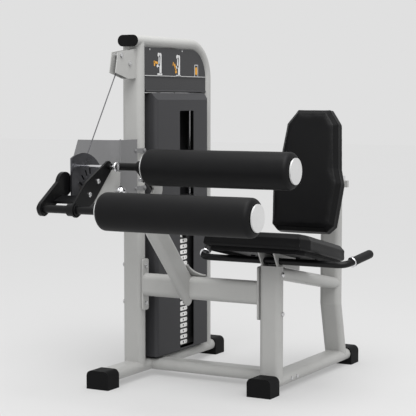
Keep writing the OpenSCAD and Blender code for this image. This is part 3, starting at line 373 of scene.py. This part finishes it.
# Finish of each material slot of the frame
SLOT_FINISH = {
    "frame_paint": silver_powder_coat, "black_paint": black_powder_coat, "shroud_paint": texture_paint,
    "placard": satin_placard_paint, "moulding": moulded_polypropylene, "cap_rubber": moulded_rubber,
    "chrome": bright_chrome, "zinc": zinc_plate, "bronze": sintered_bronze, "cast": painted_casting,
    "plate_iron": cast_iron_enamel, "cable": coated_cable, "pulley": nylon_pulley, "foam": foam_skin,
    "upholstery": grained_leatherette, "grip": grip_rubber, "steel": ground_steel_painted_reflection, "guard_paint": guard_paint,
}


# ---- Modelling helpers ----

def deselect():
    """Leaves edit mode with nothing selected."""
    if bpy.context.object and bpy.context.object.mode != "OBJECT":
        bpy.ops.object.mode_set(mode="OBJECT")
    bpy.ops.object.select_all(action="DESELECT")


def only(piece, *others):
    """Selects a piece, and others with it, and makes it active."""
    deselect()
    for part in (piece, *others):
        part.select_set(True)
    bpy.context.view_layer.objects.active = piece


def join(piece, *others):
    """Joins other parts into a piece."""
    if others:
        only(piece, *others)
        bpy.ops.object.join()
    return piece


def name_piece(piece, name):
    piece.name = piece.data.name = name
    return piece


def pick(piece, kind, test):
    """Enters edit mode and selects the faces or edges that pass a test."""
    only(piece)
    bpy.ops.object.mode_set(mode="EDIT")
    bpy.ops.mesh.select_mode(type=kind)
    bpy.ops.mesh.select_all(action="DESELECT")
    mesh = bmesh.from_edit_mesh(piece.data)
    for item in mesh.faces if kind == "FACE" else mesh.edges:
        item.select_set(test(item))
    mesh.select_flush_mode()
    bmesh.update_edit_mesh(piece.data)


def leave_edit():
    bpy.ops.object.mode_set(mode="OBJECT")


def place_in_mesh(piece):
    """Puts the object's place, turn and size into its mesh."""
    only(piece)
    bpy.ops.object.transform_apply(location=True, rotation=True, scale=True)
    return piece


def apply(piece, kind, **values):
    """Adds a modifier, sets it and applies it."""
    only(piece)
    modifier = piece.modifiers.new(kind.title(), kind)
    for key, value in values.items():
        setattr(modifier, key, value)
    bpy.ops.object.modifier_apply(modifier=modifier.name)


def smooth(piece, degrees=35):
    only(piece)
    bpy.ops.object.shade_smooth_by_angle(angle=math.radians(degrees))


def paint(piece, *materials):
    piece.data.materials.clear()
    for material in materials:
        piece.data.materials.append(material)


def copy_node(node, name):
    """A new piece with the merged mesh of a CAD node."""
    piece = bpy.data.objects.new(name, NODES[node].data.copy())
    bpy.context.scene.collection.objects.link(piece)
    only(piece)
    bpy.ops.object.mode_set(mode="EDIT")
    bpy.ops.mesh.select_all(action="SELECT")
    bpy.ops.mesh.remove_doubles(threshold=0.01 * MM)
    bpy.ops.mesh.dissolve_limited(angle_limit=math.radians(0.5))
    leave_edit()
    return piece


def copies(piece, places):
    """Copies of a piece, each with its own mesh, moved by each place, joined with it."""
    parts = []
    for place in places:
        part = piece.copy()
        part.data = piece.data.copy()
        part.location = place
        bpy.context.scene.collection.objects.link(part)
        parts.append(part)
    return place_in_mesh(join(piece, *parts))


def finished(piece, body):
    """Makes a piece ride on a body."""
    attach(piece, body)
    return piece


# ---- Cushions ----

CLOTH_STEPS = 20
# Turn in radians from which an edge is part of a cushion's rim
RIM_ANGLE = 1.2
# Height over the resting side in which the cover is held still
REST_BAND = 9 * MM


def swell(piece, resting):
    """Lets the foam push the cover out with a cloth simulation; the resting side stays where it is."""
    pads = settings().pads
    mesh = piece.data
    start = [v.co.copy() for v in mesh.vertices]
    held = piece.vertex_groups.new(name="held")
    held.add([v.index for v in mesh.vertices if resting(v.co)], 1.0, "REPLACE")
    cloth = piece.modifiers.new("Cloth", "CLOTH")
    cloth.settings.vertex_group_mass = held.name
    cloth.settings.use_pressure = True
    cloth.settings.uniform_pressure_force = pads.pressure
    cloth.settings.effector_weights.gravity = 0
    cloth.point_cache.frame_start = 1
    cloth.point_cache.frame_end = CLOTH_STEPS
    scene = bpy.context.scene
    for step in range(1, CLOTH_STEPS + 1):
        scene.frame_set(step)
    swollen = piece.evaluated_get(bpy.context.evaluated_depsgraph_get()).data
    ends = [v.co.copy() for v in swollen.vertices]
    piece.modifiers.remove(cloth)
    scene.frame_set(1)
    # The cover is taut, so each point's way out is evened with its neighbours' and capped
    moves = [b - a for a, b in zip(start, ends)]
    near = [[] for _ in moves]
    for edge in mesh.edges:
        a, b = edge.vertices
        near[a].append(b)
        near[b].append(a)
    for _ in range(pads.ease):
        moves = [(move + sum((moves[i] for i in ring), Vector())) / (len(ring) + 1)
                 for move, ring in zip(moves, near)]
    for vertex, place, move in zip(mesh.vertices, start, moves):
        if move.length > 0:
            vertex.co = place + move * (pads.crown * math.tanh(move.length / pads.crown) / move.length)
    mesh.update()


def cushion(node, name, body, front):
    """A cushion over its CAD solid, bevelled and swollen, whose user's side faces front."""
    pads = settings().pads
    piece = copy_node(node, name)
    corner = min((v.co for v in NODES[node].data.vertices), key=front.dot)
    for user_side, width in ((True, pads.bevel), (False, pads.foot_bevel)):
        pick(piece, "EDGE", lambda edge: len(edge.link_faces) == 2 and edge.calc_face_angle() > RIM_ANGLE
             and any(front.dot(f.normal) > 0.9 for f in edge.link_faces) == user_side
             and any(abs(front.dot(f.normal)) > 0.9 for f in edge.link_faces))
        bpy.ops.mesh.bevel(offset=width, offset_type="OFFSET", segments=1, affect="EDGES")
        leave_edit()
    piece.data.remesh_voxel_size = pads.cell
    piece.data.use_remesh_fix_poles = True
    only(piece)
    bpy.ops.object.voxel_remesh()
    swell(piece, lambda place: front.dot(place - corner) < REST_BAND)
    apply(piece, "SUBSURF", levels=1, render_levels=1)
    only(piece)
    bpy.ops.object.shade_smooth()
    paint(piece, grained_leatherette())
    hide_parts(node)
    return finished(piece, body)


class LEGMACHINE_OT_seat_cushion(bpy.types.Operator):
    """Upholster the seat"""
    bl_idname = "legmachine.seat_cushion"
    bl_label = "Seat Cushion"

    def execute(self, context):
        up = Vector((0, math.sin(SEAT_SLOPE), math.cos(SEAT_SLOPE)))
        cushion("seat_cushion", "seat_pad", ROOT, up)
        return {"FINISHED"}


class LEGMACHINE_OT_back_cushion(bpy.types.Operator):
    """Upholster the backrest"""
    bl_idname = "legmachine.back_cushion"
    bl_label = "Back Cushion"

    def execute(self, context):
        front = Vector((0, -math.cos(BACK_RECLINE), math.sin(BACK_RECLINE)))
        cushion("back_cushion", "back_pad", "back", front)
        return {"FINISHED"}


# ---- Rollers ----

ROLLER_BORE = 23 * MM


def is_end(face):
    """True for the round face at a roller's end, which has more corners than any other."""
    corners = face.verts if hasattr(face, "verts") else face.vertices
    return len(corners) > 8


def roller_sleeve(node, name, body):
    """A foam sleeve: bored, with round rims, slightly uneven along its length."""
    rollers = settings().rollers
    low, high = box(node)
    radius = (high.z - low.z) / 2
    length = high.x - low.x
    deselect()
    bpy.ops.mesh.primitive_cylinder_add(
        vertices=96, radius=radius, depth=length, location=(low + high) / 2, rotation=(0, math.pi / 2, 0))
    piece = name_piece(place_in_mesh(bpy.context.object), name)
    pick(piece, "EDGE", lambda e: len(e.link_faces) == 2 and e.calc_face_angle() > 1)
    bpy.ops.mesh.bevel(offset=rollers.rim, segments=8, profile=0.5, affect="EDGES")
    leave_edit()
    # A thin ledge, a shallow dish in it, and then the bore from end to end
    pick(piece, "FACE", is_end)
    bpy.ops.mesh.inset(thickness=0.4 * MM)
    bpy.ops.mesh.inset(thickness=6 * MM, depth=-2 * MM)
    leave_edit()
    ends = [f for f in piece.data.polygons if is_end(f)]
    dish = max((piece.data.vertices[i].co - f.center).length for f in ends for i in f.vertices)
    pick(piece, "FACE", is_end)
    bpy.ops.mesh.inset(thickness=dish - ROLLER_BORE)
    bpy.ops.mesh.bridge_edge_loops()
    leave_edit()
    pick(piece, "EDGE", lambda e: e.calc_length() > length / 2)
    bpy.ops.mesh.subdivide(number_cuts=28)
    leave_edit()
    waves = bpy.data.textures.new(name + "_waves", "CLOUDS")
    waves.noise_scale = 90 * MM
    apply(piece, "DISPLACE", texture=waves, strength=rollers.uneven, mid_level=1.0,
          texture_coords="LOCAL")
    smooth(piece, 40)
    paint(piece, foam_skin())
    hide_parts(node)
    return finished(piece, body)


class LEGMACHINE_OT_rollers(bpy.types.Operator):
    """Slide the foam sleeves on both rollers"""
    bl_idname = "legmachine.rollers"
    bl_label = "Rollers"

    def execute(self, context):
        roller_sleeve("leg_roller_foam", "leg_roller_sleeve", "leg_roller")
        roller_sleeve("thigh_roller_foam", "thigh_roller_sleeve", "thigh_roller")
        return {"FINISHED"}


# ---- Plate labels ----

PLATE_PITCH = 26 * MM
LABEL_SHIFT = 3 * MM
LABEL_CORNER = 7 * MM
NUMBER_SHIFT = 18 * MM
NUMBER_HEIGHT = 10 * MM
NUMBER_THICK = 0.1 * MM
PIN_HOLE = 5.2 * MM


def label_plate(x, y, z, pin_y):
    """A rounded label with the pin's hole through it, its back at x."""
    labels = settings().labels
    size = (labels.thickness, labels.width, labels.height)
    deselect()
    bpy.ops.mesh.primitive_cube_add(size=1, location=(x + labels.thickness / 2, y, z), scale=size)
    piece = place_in_mesh(bpy.context.object)
    pick(piece, "EDGE", lambda e: abs(e.verts[0].co.x - e.verts[1].co.x) > labels.thickness / 2)
    bpy.ops.mesh.bevel(offset=LABEL_CORNER, segments=6, affect="EDGES")
    leave_edit()
    deselect()
    bpy.ops.mesh.primitive_cylinder_add(
        vertices=24, radius=PIN_HOLE, depth=labels.height, location=(x, pin_y, z),
        rotation=(0, math.pi / 2, 0))
    drill = place_in_mesh(bpy.context.object)
    apply(piece, "BOOLEAN", object=drill, operation="DIFFERENCE", solver="EXACT")
    bpy.data.objects.remove(drill)
    return piece


def number_mark(text, x, y, z):
    """A number printed on a label, facing +X."""
    deselect()
    bpy.ops.object.text_add(location=(x, y, z), rotation=(math.pi / 2, 0, math.pi / 2))
    mark = bpy.context.object
    mark.data.body = text
    mark.data.size = NUMBER_HEIGHT
    mark.data.align_x = "CENTER"
    mark.data.align_y = "CENTER"
    mark.data.extrude = NUMBER_THICK
    mark.data.resolution_u = 3
    bpy.ops.object.convert(target="MESH")
    return place_in_mesh(bpy.context.object)


def plate_count(node):
    low, high = box(node)
    return round((high.z - low.z) / PLATE_PITCH)


def label_row(name, body, node, first):
    """Labels of one block of plates, with plain numbers that rise downwards from the top plate."""
    labels = settings().labels
    count = plate_count(node)
    low, high = box("weight_plates")
    x = high.x
    pin_y = (low.y + high.y) / 2
    y = pin_y + LABEL_SHIFT
    plate = high.z - low.z - (plate_count("weight_plates") - 1) * PLATE_PITCH
    z = box(node)[0].z + plate / 2
    piece = name_piece(label_plate(x, y, z, pin_y), name)
    copies(piece, [(0, 0, i * PLATE_PITCH) for i in range(1, count)])
    smooth(piece, 30)
    paint(piece, label_film(), label_ink())
    for i in range(count):
        mark = number_mark(str((first - i) * labels.step), x + labels.thickness, y + NUMBER_SHIFT,
                           z + i * PLATE_PITCH)
        paint(mark, label_film(), label_ink())
        for face in mark.data.polygons:
            face.material_index = 1
        join(piece, mark)
    return finished(piece, body)


class LEGMACHINE_OT_plate_labels(bpy.types.Operator):
    """Number the weight plates"""
    bl_idname = "legmachine.plate_labels"
    bl_label = "Plate Labels"

    def execute(self, context):
        picked, resting = plate_count("picked_plates"), plate_count("weight_plates")
        label_row("resting_plate_labels", ROOT, "weight_plates", picked + resting)
        label_row("picked_plate_labels", "stack", "picked_plates", picked)
        return {"FINISHED"}


# ---- Placard ----

SIGN_T = 0.6 * MM
# Depth of the placard's printed face behind its rolled edge
PLACARD_FACE = 6 * MM

# Bars of a seated figure on its machine: place, width and height in mm, turn in radians, and
# whether it is marked
FIGURE = ((10, 0, 17, 92, 0.0, False), (4, -47, 42, 8, 0.0, False), (-5, 38, 19, 19, 0.0, False),
          (0, 12, 14, 46, -0.1, False), (-10, -9, 26, 12, 0.35, False))
LEG_OUT = ((-28, 4, 30, 10, -0.15, True), (-42, 0, 9, 24, 0.1, True))
LEG_IN = ((-24, -8, 11, 34, 0.5, True), (-17, -30, 15, 11, 0.4, True), (-42, 6, 5, 18, -0.4, True))
ROLLER_MARK = ((0, -2, 19, 36, 0.0, True), (-15, 0, 3, 54, 0.0, False), (15, 0, 3, 54, 0.0, False),
               (0, 26, 32, 3, 0.0, False))


def sign(name, bars, x, y, z):
    """Flat printed bars with round ends on the placard, facing +X, joined into one sign."""
    parts = []
    for dy, dz, width, height, turn, marked in bars:
        deselect()
        bpy.ops.mesh.primitive_cube_add(
            size=1, location=(x + SIGN_T / 2, y + dy * MM, z + dz * MM), rotation=(turn, 0, 0),
            scale=(SIGN_T, width * MM, height * MM))
        bar = place_in_mesh(bpy.context.object)
        pick(bar, "EDGE", lambda e: abs(e.verts[0].co.x - e.verts[1].co.x) > SIGN_T / 2)
        bpy.ops.mesh.bevel(offset=min(width, height) * 0.45 * MM, segments=4, affect="EDGES")
        leave_edit()
        paint(bar, accent_ink() if marked else sign_ink())
        parts.append(bar)
    piece = name_piece(join(*parts), name)
    smooth(piece)
    return finished(piece, ROOT)


class LEGMACHINE_OT_placard_signs(bpy.types.Operator):
    """Print plain pictograms on the placard, with a rule under them, and screw it to the arch"""
    bl_idname = "legmachine.placard_signs"
    bl_label = "Placard Signs"

    def execute(self, context):
        low, high = box("placard")
        width, height = high.y - low.y, high.z - low.z
        face_x = low.x + PLACARD_FACE
        figure_z = low.z + 0.65 * height
        sign("placard_leg_out_sign", FIGURE + LEG_OUT, face_x, low.y + 0.23 * width, figure_z)
        sign("placard_leg_in_sign", FIGURE + LEG_IN, face_x, low.y + 0.53 * width, figure_z - 5 * MM)
        sign("placard_roller_sign", ROLLER_MARK, face_x, low.y + 0.84 * width, figure_z - 26 * MM)
        sign("placard_rule", ((0, 0, (width - 3 * MM) / MM, 2.5, 0.0, False),), face_x,
             (low.y + high.y) / 2, low.z + 0.375 * height)
        for number, share in enumerate((0.08, 0.6)):
            place = Vector((face_x, low.y + share * width, high.z - 9 * MM))
            screw = lathe(f"placard_screw_{number}", SCREW_HEAD, place, (1, 0, 0))
            smooth(screw)
            paint(screw, zinc_plate())
            finished(screw, ROOT)
        return {"FINISHED"}


# ---- Small parts ----

# Profiles of the turned parts: radius and height in mm
SCREW_HEAD = ((0.4, 0), (4.5, 0), (4.2, 1.2), (2.6, 2.2), (0.4, 2.5))
GRIP_RING = ((14.3, -7), (20, -7), (21.5, -5), (21.5, -2), (20, -0.3), (14.3, -0.3))


def lathe(name, profile, place, direction):
    """Spins a profile round an axis through place."""
    deselect()
    bpy.ops.mesh.primitive_circle_add(vertices=len(profile), radius=1, location=(0, 0, 0))
    piece = name_piece(bpy.context.object, name)
    for vertex, (radius, height) in zip(piece.data.vertices, profile):
        vertex.co = (radius * MM, 0, height * MM)
    only(piece)
    bpy.ops.object.mode_set(mode="EDIT")
    bpy.ops.mesh.select_all(action="SELECT")
    bpy.ops.mesh.spin(steps=40, angle=math.tau, center=(0, 0, 0), axis=(0, 0, 1))
    bpy.ops.mesh.select_all(action="SELECT")
    bpy.ops.mesh.remove_doubles(threshold=0.005 * MM)
    bpy.ops.mesh.normals_make_consistent(inside=False)
    leave_edit()
    piece.rotation_mode = "QUATERNION"
    piece.rotation_quaternion = Vector((0, 0, 1)).rotation_difference(Vector(direction))
    piece.location = place
    return place_in_mesh(piece)


class LEGMACHINE_OT_grip_rings(bpy.types.Operator):
    """Press a bright ring on the handle bar at the inner end of each grip"""
    bl_idname = "legmachine.grip_rings"
    bl_label = "Grip Rings"

    def execute(self, context):
        low, high = box("hand_grips")
        middle = (low.x + high.x) / 2
        along = Vector((0, math.cos(GRIP_RISE), math.sin(GRIP_RISE))) * math.cos(GRIP_FLARE)
        for side, name in ((1, "grip_ring_right"), (-1, "grip_ring_left")):
            way = along + Vector((side * math.sin(GRIP_FLARE), 0, 0))
            verts = [v.co for v in NODES["hand_grips"].data.vertices if (v.co.x - middle) * side > 0]
            near = min(verts, key=way.dot)
            end = [p for p in verts if way.dot(p - near) < 0.5 * MM]
            ring = lathe(name, GRIP_RING, sum(end, Vector()) / len(end), way)
            smooth(ring)
            paint(ring, bright_chrome())
            finished(ring, ROOT)
        return {"FINISHED"}


class LEGMACHINE_OT_stack_cable(bpy.types.Operator):
    """Hang the cable's run above the stack"""
    bl_idname = "legmachine.stack_cable"
    bl_label = "Stack Cable"

    def execute(self, context):
        low, high = box("stack_cable")
        length = high.z - low.z
        piece = copy_node("stack_cable", "stack_cable_run")
        pick(piece, "EDGE", lambda e: e.calc_length() > length / 2)
        bpy.ops.mesh.subdivide(number_cuts=12)
        leave_edit()
        smooth(piece)
        paint(piece, coated_cable())
        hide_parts("stack_cable")
        finished(piece, ROOT)
        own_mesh(piece)
        return {"FINISHED"}


class LEGMACHINE_OT_finishes(bpy.types.Operator):
    """Paint, plate and grain every part of the frame"""
    bl_idname = "legmachine.finishes"
    bl_label = "Finishes"

    def execute(self, context):
        slots = {entry["node"]: entry["material_slot"] for entry in frame["record"]["subparts"]}
        for name, part in NODES.items():
            if slots[name] == "disc":
                paint(part, turned_aluminium(f"turned_aluminium_{name}", name))
            else:
                paint(part, SLOT_FINISH[slots[name]]())
        return {"FINISHED"}


# ---- Stage ----

# Side of the floor in metres, so wide that its edge meets the backdrop
FLOOR_SIZE = 60


def studio_paper():
    # Lit studio floor: a translucent white sheet with lamps under it, so shadows on it stay pale
    return surface("studio_paper", linear("#a0a0a0"), 900, 0.004, (0.85, 0.95), ((NOISE, 12, 0.02),),
                   Specular_IOR_Level=0.0, Emission_Color=settings().stage.floor, Emission_Strength=0.4)


def soft_light(name, kind, place, target, power):
    """A lamp at a place, turned to a target."""
    deselect()
    bpy.ops.object.light_add(type=kind, location=place)
    lamp = bpy.context.object
    lamp.name = name
    lamp.data.energy = power
    lamp.rotation_euler = (Vector(target) - Vector(place)).to_track_quat("-Z", "Y").to_euler()
    return lamp


class LEGMACHINE_OT_stage(bpy.types.Operator):
    """Roll out the paper and set the lights and the camera"""
    bl_idname = "legmachine.stage"
    bl_label = "Stage"

    def execute(self, context):
        stage = settings().stage
        deselect()
        bpy.ops.mesh.primitive_plane_add(size=FLOOR_SIZE, location=(0, 0, 0))
        floor = place_in_mesh(bpy.context.object)
        floor.name = "studio_floor"
        paint(floor, studio_paper())
        world = bpy.data.worlds.new("studio")
        world.use_nodes = True
        sky = world.node_tree.nodes["Background"]
        sky.inputs["Color"].default_value = stage.floor
        context.scene.world = world
        # A wide key lamp over the viewer's shoulder, and a soft box over the rollers
        key = soft_light("key", "SUN", (2.1, -3.1, 5.2), (0, 0, 0.6), stage.key)
        key.data.angle = math.radians(50)
        strip = soft_light("strip", "AREA", (0.3, -0.6, 3.6), (0.3, -0.3, 0.6), 45)
        strip.data.size = 1.6
        camera = bpy.data.objects.new("camera", bpy.data.cameras.new("camera"))
        camera.data.lens = stage.lens
        camera.data.sensor_width = 36
        camera.data.clip_end = 200
        camera.location = stage.eye
        camera.rotation_euler = (stage.tilt, 0, stage.turn)
        context.scene.collection.objects.link(camera)
        context.scene.camera = camera
        context.scene.view_settings.view_transform = "Standard"
        return {"FINISHED"}


# ---- Panel ----

OPERATORS = (LEGMACHINE_OT_finishes, LEGMACHINE_OT_seat_cushion, LEGMACHINE_OT_back_cushion,
             LEGMACHINE_OT_rollers, LEGMACHINE_OT_plate_labels, LEGMACHINE_OT_placard_signs,
             LEGMACHINE_OT_grip_rings, LEGMACHINE_OT_stack_cable, LEGMACHINE_OT_stage)


class LEGMACHINE_PT_panel(bpy.types.Panel):
    """Pieces of the machine and their settings"""
    bl_label = "Leg Machine"
    bl_idname = "LEGMACHINE_PT_panel"
    bl_space_type = "VIEW_3D"
    bl_region_type = "UI"
    bl_category = "Leg Machine"

    def draw(self, context):
        machine = context.scene.leg_machine
        for title, group in (("Cushions", machine.pads), ("Rollers", machine.rollers),
                             ("Labels", machine.labels), ("Finishes", machine.finishes),
                             ("Stage", machine.stage)):
            box = self.layout.box()
            box.label(text=title)
            for prop in group.bl_rna.properties:
                if prop.identifier not in {"rna_type", "name"}:
                    box.prop(group, prop.identifier)
        for operator in OPERATORS:
            self.layout.operator(operator.bl_idname)


CLASSES = (PadSettings, RollerSettings, LabelSettings, FinishSettings, StageSettings, MachineSettings,
           *OPERATORS, LEGMACHINE_PT_panel)


def register():
    for cls in CLASSES:
        bpy.utils.register_class(cls)
    bpy.types.Scene.leg_machine = bpy.props.PointerProperty(type=MachineSettings)


def unregister():
    del bpy.types.Scene.leg_machine
    for cls in reversed(CLASSES):
        bpy.utils.unregister_class(cls)


def main():
    register()
    bpy.ops.legmachine.finishes()
    bpy.ops.legmachine.seat_cushion()
    bpy.ops.legmachine.back_cushion()
    bpy.ops.legmachine.rollers()
    bpy.ops.legmachine.plate_labels()
    bpy.ops.legmachine.placard_signs()
    bpy.ops.legmachine.grip_rings()
    bpy.ops.legmachine.stack_cable()
    bpy.ops.legmachine.stage()


if __name__ == "__main__":
    main()
